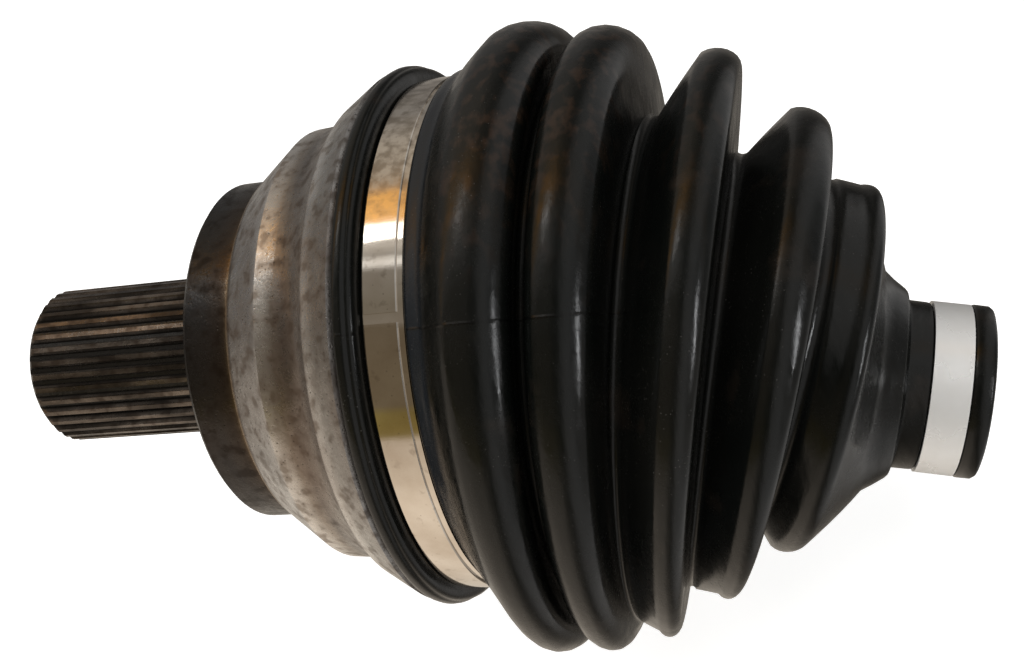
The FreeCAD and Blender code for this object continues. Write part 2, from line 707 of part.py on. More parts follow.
def main():
    """Writes each piece to its own STEP file."""
    os.makedirs("parts", exist_ok=True)
    for name, shape in pieces().items():
        shape.exportStep("parts/%s.step" % name)
        print("%-16s solids %d valid %s volume %.1f" % (
            name, len(shape.Solids), shape.isValid(), shape.Volume))


main()
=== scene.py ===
"""Dresses the outer joint of a front drive shaft for its picture.

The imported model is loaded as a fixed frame. The boot is remodelled as a fine rubber bellows that
bends between the bell and the bar, and every metal piece gets a finish of its own. Lengths are in
metres, in the model's own frame: +X runs along the bell's axis towards the boot and +Z is up.
"""

from __future__ import annotations

import logging
import math
from dataclasses import dataclass
from enum import Enum
from typing import Any, Iterable

import bmesh
import bpy
from mathutils import Matrix, Vector

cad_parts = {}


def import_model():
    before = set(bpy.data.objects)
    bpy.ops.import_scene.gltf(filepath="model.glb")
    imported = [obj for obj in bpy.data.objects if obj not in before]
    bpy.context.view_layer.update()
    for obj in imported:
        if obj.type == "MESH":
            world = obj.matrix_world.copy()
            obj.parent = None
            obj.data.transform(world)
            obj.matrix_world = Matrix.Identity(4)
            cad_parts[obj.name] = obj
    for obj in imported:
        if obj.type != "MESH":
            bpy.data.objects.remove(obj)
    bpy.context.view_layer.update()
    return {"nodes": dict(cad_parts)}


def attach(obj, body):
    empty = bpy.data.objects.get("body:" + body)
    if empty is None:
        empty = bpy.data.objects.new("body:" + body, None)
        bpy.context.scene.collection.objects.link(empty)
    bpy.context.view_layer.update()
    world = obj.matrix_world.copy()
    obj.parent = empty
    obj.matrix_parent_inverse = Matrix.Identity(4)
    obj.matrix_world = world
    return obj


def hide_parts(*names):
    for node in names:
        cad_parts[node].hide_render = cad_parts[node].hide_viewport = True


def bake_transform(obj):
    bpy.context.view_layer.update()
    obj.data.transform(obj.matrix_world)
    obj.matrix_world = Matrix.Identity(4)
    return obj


LOG = logging.getLogger("drive_shaft_joint")
MM = 0.001
MERGE_DISTANCE = 1e-7

Colour = tuple[float, float, float]
Point = tuple[float, float, float]
Outline = list[tuple[float, float, float]]


class Body(Enum):
    """The moving bodies of the joint that new pieces ride on."""

    BELL = "bell"
    SHAFT = "shaft"


class Slot(Enum):
    """The record's material slots."""

    FORGED = "forged_steel"
    RACE = "race_steel"
    BAR = "bar_steel"
    SPRING = "spring_steel"
    WASHER = "washer_nylon"
    RUBBER = "boot_rubber"
    CLAMP = "clamp_steel"
    BALL = "ball_steel"


class Graph:
    """A node graph, with short ways to add and join its nodes."""

    def __init__(self, owner: Any, output: str, coordinate: str) -> None:
        """Empties the owner's graph and adds its output.

        Args:
            owner: The material or world that the graph belongs to.
            output: Type of the output node.
            coordinate: Name of the coordinate that patterns follow.
        """
        owner.use_nodes = True
        self.nodes = owner.node_tree.nodes
        self.links = owner.node_tree.links
        self.nodes.clear()
        self.output = self.nodes.new(output)
        self.place = self.nodes.new("ShaderNodeTexCoord").outputs[coordinate]

    def join(self, source: Any, target: Any) -> None:
        """Links an output socket to an input socket."""
        self.links.new(source, target)

    def feed(self, socket: Any, value: Any) -> None:
        """Sets an input socket from a plain value or from another node's output.

        Args:
            socket: The input socket.
            value: A number, a tuple or an output socket.
        """
        if isinstance(value, bpy.types.NodeSocket):
            self.join(value, socket)
        else:
            socket.default_value = value

    def math(self, operation: str, first: Any, second: Any = 0.0) -> Any:
        """Adds a math node.

        Args:
            operation: Blender's name of the operation.
            first: First operand, a number or a socket.
            second: Second operand, a number or a socket.

        Returns:
            The node's output socket.
        """
        node = self.nodes.new("ShaderNodeMath")
        node.operation = operation
        self.feed(node.inputs[0], first)
        self.feed(node.inputs[1], second)
        return node.outputs[0]

    def noise(self, scale: float, detail: float = 3.0, vector: Any = None) -> Any:
        """Adds a noise texture and gives its value."""
        node = self.nodes.new("ShaderNodeTexNoise")
        node.inputs["Scale"].default_value = scale
        node.inputs["Detail"].default_value = detail
        self.join(vector or self.place, node.inputs["Vector"])
        return node.outputs["Fac"]

    def cells(self, scale: float) -> Any:
        """Adds a Voronoi texture and gives its distance."""
        node = self.nodes.new("ShaderNodeTexVoronoi")
        node.inputs["Scale"].default_value = scale
        self.join(self.place, node.inputs["Vector"])
        return node.outputs["Distance"]

    def stretched(self, scale: Point) -> Any:
        """Adds a mapping node that stretches a pattern."""
        node = self.nodes.new("ShaderNodeMapping")
        node.inputs["Scale"].default_value = scale
        self.join(self.place, node.inputs["Vector"])
        return node.outputs["Vector"]

    def ramp(self, value: Any, stops: Iterable[tuple[float, Colour]]) -> Any:
        """Adds a colour ramp.

        Args:
            value: The factor, a socket.
            stops: Places from 0 to 1 with their colours.

        Returns:
            The colour output.
        """
        node = self.nodes.new("ShaderNodeValToRGB")
        elements = node.color_ramp.elements
        for index, (place, colour) in enumerate(stops):
            element = elements[index] if index < 2 else elements.new(place)
            element.position = place
            element.color = (*colour, 1.0)
        self.feed(node.inputs["Fac"], value)
        return node.outputs["Color"]

    def span(self, value: Any, low: float, high: float, start: float = 0.0, end: float = 1.0) -> Any:
        """Adds a map range node from low..high to start..end."""
        node = self.nodes.new("ShaderNodeMapRange")
        self.feed(node.inputs["Value"], value)
        node.inputs["From Min"].default_value = low
        node.inputs["From Max"].default_value = high
        node.inputs["To Min"].default_value = start
        node.inputs["To Max"].default_value = end
        return node.outputs["Result"]

    def mix(self, share: Any, first: Any, second: Any, blend: str = "MIX") -> Any:
        """Adds a colour mix node."""
        node = self.nodes.new("ShaderNodeMix")
        node.data_type = "RGBA"
        node.blend_type = blend
        self.feed(node.inputs["Factor"], share)
        for name, value in (("A", first), ("B", second)):
            socket = next(s for s in node.inputs if s.name == name and s.type == "RGBA")
            self.feed(socket, value if isinstance(value, bpy.types.NodeSocket) else (*value, 1.0))
        return next(s for s in node.outputs if s.type == "RGBA")

    def bump(self, height: Any, strength: float, distance: float, normal: Any = None) -> Any:
        """Adds a bump node.

        Args:
            height: Height output.
            strength: Strength from 0 to 1.
            distance: Height of a full step, in metres.
            normal: Normal to build on.

        Returns:
            The normal output.
        """
        node = self.nodes.new("ShaderNodeBump")
        node.inputs["Strength"].default_value = strength
        node.inputs["Distance"].default_value = distance
        self.feed(node.inputs["Height"], height)
        if normal is not None:
            self.join(normal, node.inputs["Normal"])
        return node.outputs["Normal"]

    def axis(self, name: str) -> Any:
        """Gives one coordinate of the graph's own frame."""
        node = self.nodes.new("ShaderNodeSeparateXYZ")
        self.join(self.place, node.inputs[0])
        return node.outputs[name]

    def ray(self, name: str) -> Any:
        """Tells what kind of ray sees the surface, by the light path's name for it."""
        return self.nodes.new("ShaderNodeLightPath").outputs[name]


class Surface(Graph):
    """A material's graph round one principled shader."""

    def __init__(self, name: str) -> None:
        """Starts an empty material with its output and its shader.

        Args:
            name: Name of the material.
        """
        self.material = bpy.data.materials.new(name)
        super().__init__(self.material, "ShaderNodeOutputMaterial", "Object")
        self.shader = self.nodes.new("ShaderNodeBsdfPrincipled")
        self.join(self.shader.outputs["BSDF"], self.output.inputs["Surface"])

    def set(self, **values: Any) -> None:
        """Feeds the principled shader's sockets, by their names with underscores for spaces."""
        for name, value in values.items():
            self.feed(self.shader.inputs[name.replace("_", " ")], value)

    def radius(self) -> Any:
        """Gives the distance from the X axis of the object's own frame."""
        across = self.math("POWER", self.axis("Y"), 2.0)
        up = self.math("POWER", self.axis("Z"), 2.0)
        return self.math("SQRT", self.math("ADD", across, up))

    def azimuth(self) -> Any:
        """Gives the angle about the X axis in radians, 0 on top and rising towards the camera."""
        toward = self.math("MULTIPLY", self.axis("Y"), -1.0)
        return self.math("ARCTAN2", toward, self.axis("Z"))


@dataclass(frozen=True)
class BellFinish:
    """Turned and forged steel whose colour changes along the bell's axis, with painted highlights on its
    crest ring and flare.
    """

    name: str = "bell_forged_steel"
    low: float = -0.042
    high: float = 0.048

    def at(self, millimetres: float) -> float:
        """Gives the ramp's place for a distance from the hub shoulder."""
        return (millimetres * MM - self.low) / (self.high - self.low)

    def material(self) -> bpy.types.Material:
        """Builds the material."""
        g = Surface(self.name)
        along = g.span(g.axis("X"), self.low, self.high)
        tone_and_painted_glints = g.ramp(along, [
            (0.0, (0.19, 0.160, 0.135)),
            (self.at(-3), (0.23, 0.195, 0.165)),
            (self.at(0.2), (0.042, 0.041, 0.041)),
            (self.at(4.0), (0.042, 0.041, 0.041)),
            (self.at(6.8), (0.052, 0.042, 0.035)),
            (self.at(7.9), (0.085, 0.064, 0.045)),
            (self.at(8.15), (0.75, 0.56, 0.34)),
            (self.at(8.6), (0.26, 0.20, 0.15)),
            (self.at(9.1), (0.62, 0.48, 0.33)),
            (self.at(9.5), (0.12, 0.10, 0.09)),
            (self.at(10.0), (0.56, 0.55, 0.54)),
            (self.at(16.2), (0.62, 0.61, 0.60)),
            # Painted highlight: the bright band round 17 mm on the crest ring.
            (self.at(17.0), (0.84, 0.82, 0.79)),
            (self.at(18.4), (0.68, 0.65, 0.61)),
            (self.at(20.2), (0.36, 0.32, 0.28)),
            (self.at(22.0), (0.22, 0.200, 0.185)),
            (self.at(24.2), (0.33, 0.300, 0.275)),
            (self.at(26.3), (0.46, 0.440, 0.42)),
            # Painted highlight: the bright band round 27.3 mm on the flare.
            (self.at(27.3), (0.80, 0.78, 0.75)),
            (self.at(29.5), (0.45, 0.44, 0.42)),
            (self.at(33.0), (0.37, 0.355, 0.34)),
        ])
        patches = g.noise(75.0, 5.0)
        stains = g.noise(38.0, 3.0, g.stretched((1.6, 0.7, 0.7)))
        mottle = g.noise(430.0, 6.0)
        grit = g.noise(1900.0, 4.0)
        pits = g.cells(1100.0)
        rings = g.noise(260.0, 4.0, g.stretched((6.0, 0.4, 0.4)))
        streaks = g.noise(300.0, 4.0, g.stretched((0.25, 1.0, 1.0)))
        grooves = g.span(g.radius(), 0.01305, 0.0138)
        body = g.span(g.axis("X"), -0.0004, 0.0)
        tooth = g.math("MAXIMUM", grooves, body)
        worn = g.math("MAXIMUM", g.span(streaks, 0.40, 0.62, 0.22, 1.0), body)
        tint = g.mix(1.0, tone_and_painted_glints, g.ramp(mottle, [(0.36, (0.52, 0.48, 0.45)), (0.47, (0.90, 0.89, 0.89)),
                                                 (0.60, (1.0, 1.0, 1.0))]), "MULTIPLY")
        cone = g.span(g.axis("X"), 0.0090, 0.0102, 0.25, 1.0)
        tint = g.mix(g.math("MULTIPLY", cone, g.span(stains, 0.48, 0.66, 0.0, 0.50)), tint,
                     (0.18, 0.125, 0.090))
        tint = g.mix(g.math("MULTIPLY", cone, g.span(patches, 0.54, 0.72, 0.0, 0.35)), tint,
                     (0.11, 0.095, 0.085))
        tint = g.mix(g.span(pits, 0.05, 0.22, 0.55, 0.0), tint, (0.04, 0.033, 0.028))
        tint = g.mix(worn, (0.018, 0.015, 0.013), tint)
        tint = g.mix(tooth, (0.008, 0.007, 0.006), tint)
        g.set(Base_Color=tint, Metallic=g.span(tooth, 0.0, 1.0, 0.2, 0.92))
        rough = g.math("ADD", g.span(mottle, 0.36, 0.62, 0.36, 0.22), g.span(grit, 0.3, 0.7, -0.04, 0.10))
        g.set(Roughness=rough)
        normal = g.bump(g.span(pits, 0.0, 0.22), 0.45, 0.0001)
        normal = g.bump(grit, 0.35, 0.0001, normal)
        normal = g.bump(mottle, 0.30, 0.00022, normal)
        g.set(Normal=g.bump(rings, 0.25, 0.00005, normal))
        return g.material


@dataclass(frozen=True)
class PolishedBand:
    """Bright stainless strip with fine scratches, dull smears and a painted dark reflection over its top."""

    name: str = "clamp_polished_steel"
    light: Colour = (0.86, 0.80, 0.72)
    dull: Colour = (0.66, 0.58, 0.49)

    def material(self) -> bpy.types.Material:
        """Builds the material."""
        g = Surface(self.name)
        scratches = g.noise(1400.0, 4.0, g.stretched((0.12, 1.0, 1.0)))
        smears = g.noise(110.0, 4.0)
        stains = g.noise(520.0, 6.0)
        specks = g.cells(620.0)
        top = g.span(g.axis("Z"), 0.0365, 0.0405)
        tint = g.mix(g.span(smears, 0.40, 0.72), self.light, self.dull)
        # Darker brown over the top of the band: a painted dark reflection, patterned by the stain noise.
        tint = g.mix(g.math("MULTIPLY", top, g.span(stains, 0.42, 0.60, 0.0, 0.8)), tint,
                     (0.42, 0.37, 0.31))
        tint = g.mix(g.span(stains, 0.60, 0.72, 0.0, 0.5), tint, (0.40, 0.34, 0.28))
        tint = g.mix(g.span(specks, 0.03, 0.10, 0.5, 0.0), tint, (0.22, 0.18, 0.15))
        g.set(Base_Color=tint, Metallic=1.0)
        dull = g.math("MULTIPLY", top, g.span(stains, 0.35, 0.6, 0.04, 0.16))
        rough = g.math("ADD", g.span(smears, 0.3, 0.7, 0.025, 0.07), g.span(scratches, 0.3, 0.7, 0.0, 0.035))
        g.set(Roughness=g.math("ADD", rough, dull))
        g.set(Normal=g.bump(stains, 0.12, 0.00003, g.bump(scratches, 0.14, 0.00002)))
        return g.material


@dataclass(frozen=True)
class BootRubber:
    """Near-black satin rubber, with brown dust and a painted brown sheen on the tops of its crests, and
    scuffed with fine pale specks.
    """

    name: str = "boot_satin_rubber"
    seam_angle: float = 0.90

    def material(self) -> bpy.types.Material:
        """Builds the material."""
        g = Surface(self.name)
        clouds = g.noise(34.0, 5.0)
        patches = g.noise(120.0, 4.0)
        scuffs = g.noise(330.0, 6.0, g.stretched((1.6, 1.0, 0.5)))
        grain = g.noise(1700.0, 3.0)
        specks = g.cells(1150.0)
        tint = g.mix(g.span(clouds, 0.42, 0.72), (0.0022, 0.0027, 0.0023), (0.0055, 0.0054, 0.0046))
        tint = g.mix(g.span(patches, 0.62, 0.76, 0.0, 0.4), tint, (0.020, 0.014, 0.010))
        # Brown over the tops of the fold crests, on the upper side only: partly dust, partly a painted brown
        # sheen.
        crest = g.math("MULTIPLY", g.span(g.axis("Z"), 0.034, 0.046), g.span(scuffs, 0.50, 0.66))
        crest = g.math("MULTIPLY", crest, g.span(g.axis("X"), 0.0500, 0.0520, 0.0, 0.45))
        tint = g.mix(crest, tint, (0.038, 0.021, 0.013))
        collar = g.math("MULTIPLY", g.span(g.axis("X"), 0.0440, 0.0446), g.span(g.axis("X"), 0.0485, 0.0465))
        tint = g.mix(g.math("MULTIPLY", collar, 0.8), tint, (0.011, 0.013, 0.016))
        dust = g.math("MULTIPLY", g.span(specks, 0.04, 0.12, 1.0, 0.0), g.span(clouds, 0.45, 0.62))
        tint = g.mix(g.math("MULTIPLY", dust, 0.35), tint, (0.16, 0.15, 0.14))
        seam = g.math("ABSOLUTE", g.math("SUBTRACT", g.azimuth(), self.seam_angle))
        line = g.math("MULTIPLY", g.span(seam, 0.0, 0.006, 1.0, 0.0), g.span(g.axis("X"), 0.080, 0.072))
        g.set(Base_Color=g.mix(g.math("MULTIPLY", line, 0.8), tint, (0.001, 0.001, 0.001)))
        rough = g.math("ADD", g.span(patches, 0.3, 0.7, 0.20, 0.30), g.span(grain, 0.3, 0.7, -0.02, 0.04))
        g.set(Roughness=g.math("ADD", rough, g.span(scuffs, 0.48, 0.66, 0.0, -0.09)))
        g.set(Specular_IOR_Level=0.40)
        normal = g.bump(grain, 0.16, 0.00006)
        normal = g.bump(scuffs, 0.35, 0.00020, normal)
        normal = g.bump(line, 0.5, 0.00012, normal)
        g.set(Normal=g.bump(patches, 0.12, 0.0003, normal))
        return g.material


@dataclass(frozen=True)
class PlainFinish:
    """A worked metal or plastic with slight mottling."""

    name: str
    light: Colour
    dark: Colour
    metallic: float
    roughness: float
    scale: float = 120.0

    def material(self) -> bpy.types.Material:
        """Builds the material."""
        g = Surface(self.name)
        mottle = g.noise(self.scale, 4.0)
        fine = g.noise(self.scale * 9.0, 2.0)
        g.set(Base_Color=g.mix(g.span(mottle, 0.35, 0.7), self.light, self.dark))
        g.set(Metallic=self.metallic)
        g.set(Roughness=g.span(mottle, 0.3, 0.7, self.roughness - 0.05, self.roughness + 0.07))
        g.set(Normal=g.bump(fine, 0.12, 0.00003))
        return g.material


class Bench:
    """Short ways to model with Blender's own operators."""

    @staticmethod
    def clear() -> None:
        """Deselects everything."""
        if bpy.context.object and bpy.context.object.mode != "OBJECT":
            bpy.ops.object.mode_set(mode="OBJECT")
        bpy.ops.object.select_all(action="DESELECT")

    @classmethod
    def outline(cls, name: str, points: list[tuple[float, float]]) -> bpy.types.Object:
        """Draws a chain of vertices in the XZ plane by extruding one vertex from point to point.

        Args:
            name: Name of the new object.
            points: (x, r) corners.

        Returns:
            The object, in edit mode, with its last vertex selected.
        """
        cls.clear()
        bpy.ops.mesh.primitive_plane_add(size=MM, location=(0, 0, 0))
        piece = bpy.context.object
        piece.name = name
        bpy.ops.object.mode_set(mode="EDIT")
        bpy.ops.mesh.merge(type="CENTER")
        here = Vector((0, 0, 0))
        first = Vector((points[0][0], 0, points[0][1]))
        bpy.ops.transform.translate(value=first - here)
        here = first
        for x, radius in points[1:]:
            there = Vector((x, 0, radius))
            bpy.ops.mesh.extrude_vertices_move(TRANSFORM_OT_translate={"value": there - here})
            here = there
        return piece

    @classmethod
    def lathe(cls, name: str, points: list[tuple[float, float]], steps: int) -> bpy.types.Object:
        """Spins a closed outline about the X axis.

        Args:
            name: Name of the new object.
            points: (x, r) corners of the closed outline.
            steps: Number of segments round the axis.

        Returns:
            The new object, in object mode.
        """
        piece = cls.outline(name, points + points[:1])
        bpy.ops.mesh.select_all(action="SELECT")
        bpy.ops.mesh.remove_doubles(threshold=MERGE_DISTANCE)
        bpy.ops.mesh.spin(steps=steps, angle=2 * math.pi, center=(0, 0, 0), axis=(1, 0, 0))
        bpy.ops.mesh.select_all(action="SELECT")
        bpy.ops.mesh.remove_doubles(threshold=MERGE_DISTANCE)
        bpy.ops.mesh.normals_make_consistent(inside=False)
        bpy.ops.object.mode_set(mode="OBJECT")
        return piece

    @classmethod
    def split(cls, piece: bpy.types.Object, low: float, high: float) -> None:
        """Opens a ring between two angles about X and closes its two ends.

        Args:
            piece: The ring, spun about the X axis.
            low: First angle in degrees, 0 on top and rising towards the camera.
            high: Second angle.
        """
        cls.clear()
        piece.select_set(True)
        bpy.context.view_layer.objects.active = piece
        bpy.ops.object.mode_set(mode="EDIT")
        bpy.ops.mesh.select_mode(type="FACE")
        bpy.ops.mesh.select_all(action="DESELECT")
        bpy.ops.object.mode_set(mode="OBJECT")
        for face in piece.data.polygons:
            centre = face.center
            face.select = low < math.degrees(math.atan2(-centre.y, centre.z)) < high
        bpy.ops.object.mode_set(mode="EDIT")
        bpy.ops.mesh.delete(type="FACE")
        bpy.ops.mesh.select_mode(type="VERT")
        bpy.ops.mesh.select_all(action="SELECT")
        bpy.ops.mesh.fill_holes(sides=0)
        bpy.ops.mesh.normals_make_consistent(inside=False)
        bpy.ops.object.mode_set(mode="OBJECT")

    @staticmethod
    def smooth(piece: bpy.types.Object, degrees: float = 35.0) -> None:
        """Shades a piece smooth up to an angle between its faces."""
        Bench.clear()
        piece.select_set(True)
        bpy.context.view_layer.objects.active = piece
        bpy.ops.object.shade_smooth_by_angle(angle=math.radians(degrees))

    @staticmethod
    def paint(piece: bpy.types.Object, material: bpy.types.Material) -> None:
        """Gives a piece one material."""
        piece.data.materials.clear()
        piece.data.materials.append(material)


@dataclass(frozen=True)
class Fold:
    """One fold of the boot, drawn straight, in millimetres and degrees."""

    x: float
    radius: float
    roundness: float
    sink: float
    lean: float


@dataclass(frozen=True)
class Valley:
    """The bottom between two folds, with how far its centre sinks below the folds' centre line."""

    x: float
    radius: float
    sink: float


@dataclass
class Boot:
    """The rubber bellows between the bell and the bar."""

    folds: tuple[Fold, ...] = (
        Fold(54.2, 52.1, 4.4, 2.4, 3.0),
        Fold(64.1, 51.2, 3.9, 3.75, 5.0),
        Fold(76.7, 48.0, 2.6, 6.25, 12.1),
        Fold(87.2, 40.4, 2.7, 9.5, 17.5),
        Fold(96.15, 30.7, 3.1, 13.5, 23.2),
    )
    valleys: tuple[Valley, ...] = (
        Valley(58.85, 43.0, 0.0), Valley(69.5, 41.95, 6.1),
        Valley(80.4, 36.0, 5.2), Valley(91.05, 28.55, -1.7),
    )
    flank: Valley = Valley(46.1, 45.4, 1.76)
    cone: Valley = Valley(105.8, 18.2, 0.0)
    valley_bend: float = 0.9
    pressed_share: float = 0.4
    joint_x: float = 36.0
    rest_lean: float = 14.0
    seat_radius: float = 39.52
    wall: float = 2.0
    bore: float = 11.02
    flank_foot: tuple[float, float] = (47.2, 46.2)
    seat_end: float = 46.0
    cone_inside: tuple[float, float] = (68.8, 16.2)
    neck_start: float = 74.1
    neck_end: float = 87.4
    blend_start: float = 44.3
    blend_end: float = 76.0
    least_bend: float = 0.6
    valley_reach: float = 55.0
    valley_steps: int = 6
    around: int = 216
    arc_steps: int = 9
    collar: tuple[tuple[float, float], ...] = (
        (33.3, 44.3), (33.4, 44.9), (33.8, 45.4), (34.4, 45.6), (35.0, 45.55), (35.4, 45.35),
        (35.6, 45.15), (35.85, 45.12), (36.3, 45.0), (36.7, 44.5), (37.0, 43.6), (37.1, 42.3),
        (37.3, 42.02), (43.7, 42.02), (43.9, 42.3), (44.0, 43.0), (44.3, 43.5), (44.8, 43.8),
    )

    def bar_point(self, distance: float) -> tuple[float, float]:
        """Gives the point of the bar's axis at a distance from the joint centre.

        Args:
            distance: Distance from the joint centre in millimetres.

        Returns:
            Its X and Z in millimetres.
        """
        angle = math.radians(self.rest_lean)
        return self.joint_x + distance * math.cos(angle), -distance * math.sin(angle)

    def stations(self) -> list[tuple[float, float, float, float]]:
        """Lists where the centre line passes: parameter, X, Z and lean, in millimetres and degrees."""
        marks = [(33.3, 33.3, 0.0, 0.0), (46.0, 46.0, 0.0, 0.0)]
        marks += [(fold.x, fold.x, -fold.sink, fold.lean) for fold in self.folds]
        for distance in (69.8, 74.1, 90.0):
            x, z = self.bar_point(distance)
            marks.append((self.joint_x + distance, x, z, self.rest_lean))
        return marks

    def frame_at(self, parameter: float) -> Point:
        """Reads the bent centre line at a parameter along the straight boot.

        Args:
            parameter: Distance along the straight boot in millimetres.

        Returns:
            X, Z and lean there, by a smooth curve through the stations.
        """
        marks = self.stations()
        index = 1
        while index < len(marks) - 1 and parameter > marks[index][0]:
            index += 1
        before, here, there, after = (marks[max(index - 2, 0)], marks[index - 1], marks[index],
                                      marks[min(index + 1, len(marks) - 1)])
        width = there[0] - here[0]
        share = (parameter - here[0]) / width
        values = []
        for axis in (1, 2, 3):
            slope_here = (there[axis] - before[axis]) / max(there[0] - before[0], 1e-6)
            slope_there = (after[axis] - here[axis]) / max(after[0] - here[0], 1e-6)
            square, cube = share ** 2, share ** 3
            values.append((2 * cube - 3 * square + 1) * here[axis]
                          + (cube - 2 * square + share) * width * slope_here
                          + (-2 * cube + 3 * square) * there[axis]
                          + (cube - square) * width * slope_there)
        return values[0], values[1], values[2]

    @staticmethod
    def touch(centre: tuple[float, float], bend: float, corner: tuple[float, float],
              side: int) -> float:
        """Finds where a straight flank from a corner touches a crest's arc.

        Args:
            centre: Centre of the arc, as x and r.
            bend: Radius of the arc.
            corner: Where the flank starts.
            side: -1 for the flank on the bell's side and 1 for the one on the bar's.

        Returns:
            The angle on the arc, from straight out towards +X.
        """
        across, up = corner[0] - centre[0], corner[1] - centre[1]
        return math.atan2(across, up) - side * math.acos(bend / math.hypot(across, up))

    @staticmethod
    def flank_points(start: Point, end: Point,
                     steps: int = 5) -> Outline:
        """Divides a flank, so that it bends smoothly with the boot."""
        return [tuple(a + (b - a) * step / steps for a, b in zip(start, end))
                for step in range(1, steps)]

    def bellows(self, inset: float) -> Outline:
        """Makes the fold outline of the straight boot, with round crests and valleys.

        Args:
            inset: How far inside the outer skin the outline lies.

        Returns:
            (x, r, sink) points from the first flank to the cone.
        """
        corners = [self.flank, *self.valleys, self.cone]
        arcs: list[Outline] = []
        for index, fold in enumerate(self.folds):
            centre = (fold.x, fold.radius - fold.roundness)
            first, last = (self.touch(centre, fold.roundness, (corner.x, corner.radius), side)
                           for corner, side in ((corners[index], -1), (corners[index + 1], 1)))
            bend = max(fold.roundness - inset, self.least_bend)
            angles = [first + (last - first) * step / (self.arc_steps - 1)
                      for step in range(self.arc_steps)]
            arcs.append([(fold.x + bend * math.sin(angle), centre[1] + bend * math.cos(angle), 0.0)
                         for angle in angles])
            if index < len(self.valleys):
                valley = self.valleys[index]
                bend = self.valley_bend + inset
                inside = self.pressed_share if inset else 0.0
                depth = valley.radius + self.valley_bend - inside * abs(valley.sink)
                reach = math.radians(self.valley_reach)
                turns = [reach * (2 * step / self.valley_steps - 1)
                         for step in range(self.valley_steps + 1)]
                arcs.append([(valley.x + bend * math.sin(turn), depth - bend * math.cos(turn),
                              valley.sink * (1 - inside)) for turn in turns])
        points = list(arcs[0])
        for arc in arcs[1:]:
            points += self.flank_points(points[-1], arc[0]) + arc
        return points

    def neck(self) -> Outline:
        """Gives the outline of the cone, the clamp's seat and the small lip."""
        rows = ((69.8, 18.2), (71.6, 16.9), (73.3, 15.65), (73.7, 15.2), (73.9, 14.2), (74.1, 13.85),
                (74.5, 13.75), (77.0, 13.7), (77.5, 13.6), (77.7, 13.2), (77.9, 13.1), (83.8, 13.1),
                (84.0, 13.3), (84.1, 13.9), (84.5, 14.1), (86.7, 14.05), (87.2, 13.7), (87.4, 13.0))
        return [(self.joint_x + x, radius, 0.0) for x, radius in rows]

    def outline(self) -> Outline:
        """Gives the closed outline of the straight boot, as x, r and sink in millimetres."""
        joint = self.joint_x
        outer = [(x, radius, 0.0) for x, radius in self.collar]
        outer += self.flank_points(outer[-1], (*self.flank_foot, self.flank.sink), 4)
        bellows = self.bellows(0.0)
        outer += self.flank_points(outer[-1], bellows[0]) + bellows
        outer += self.flank_points(bellows[-1], (self.cone.x, self.cone.radius, 0.0)) + self.neck()
        inner = [(self.collar[0][0], self.seat_radius, 0.0), (self.seat_end, self.seat_radius, 0.0)]
        inner += self.bellows(self.wall)
        inner += [(joint + self.cone_inside[0], self.cone_inside[1], 0.0),
                  (joint + self.neck_start, self.bore, 0.0), (joint + self.neck_end, self.bore, 0.0)]
        return outer + inner[::-1]

    def bend(self, piece: bpy.types.Object, outline: Outline) -> None:
        """Lays the straight boot along the bent centre line.

        Args:
            piece: The boot, straight along X.
            outline: Its outline, which holds how far each ring sinks.
        """
        rings: dict[tuple[float, float], tuple[float, float, float, float]] = {}
        for vertex in piece.data.vertices:
            x, radius = vertex.co.x / MM, math.hypot(vertex.co.y, vertex.co.z) / MM
            key = (round(x, 2), round(radius, 2))
            if key not in rings:
                nearest = min(outline, key=lambda corner: math.hypot(corner[0] - x, corner[1] - radius))
                rings[key] = (*self.frame_at(nearest[0]), nearest[2])
            centre_x, centre_z, lean, sink = rings[key]
            angle = math.radians(lean)
            up = vertex.co.z - sink * MM
            vertex.co = Vector((centre_x * MM + up * math.sin(angle), vertex.co.y,
                                centre_z * MM + up * math.cos(angle)))

    def build(self) -> bpy.types.Object:
        """Models the boot, bends it, gives it its rubber and hides the imported boot."""
        outline = self.outline()
        piece = Bench.lathe("boot_bellows", [(x * MM, radius * MM) for x, radius, _ in outline],
                            self.around)
        self.bend(piece, outline)
        Bench.smooth(piece, 40.0)
        Bench.paint(piece, BootRubber().material())
        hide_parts("boot")
        end_x, end_z = self.bar_point(self.blend_end)
        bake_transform(piece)
        return piece


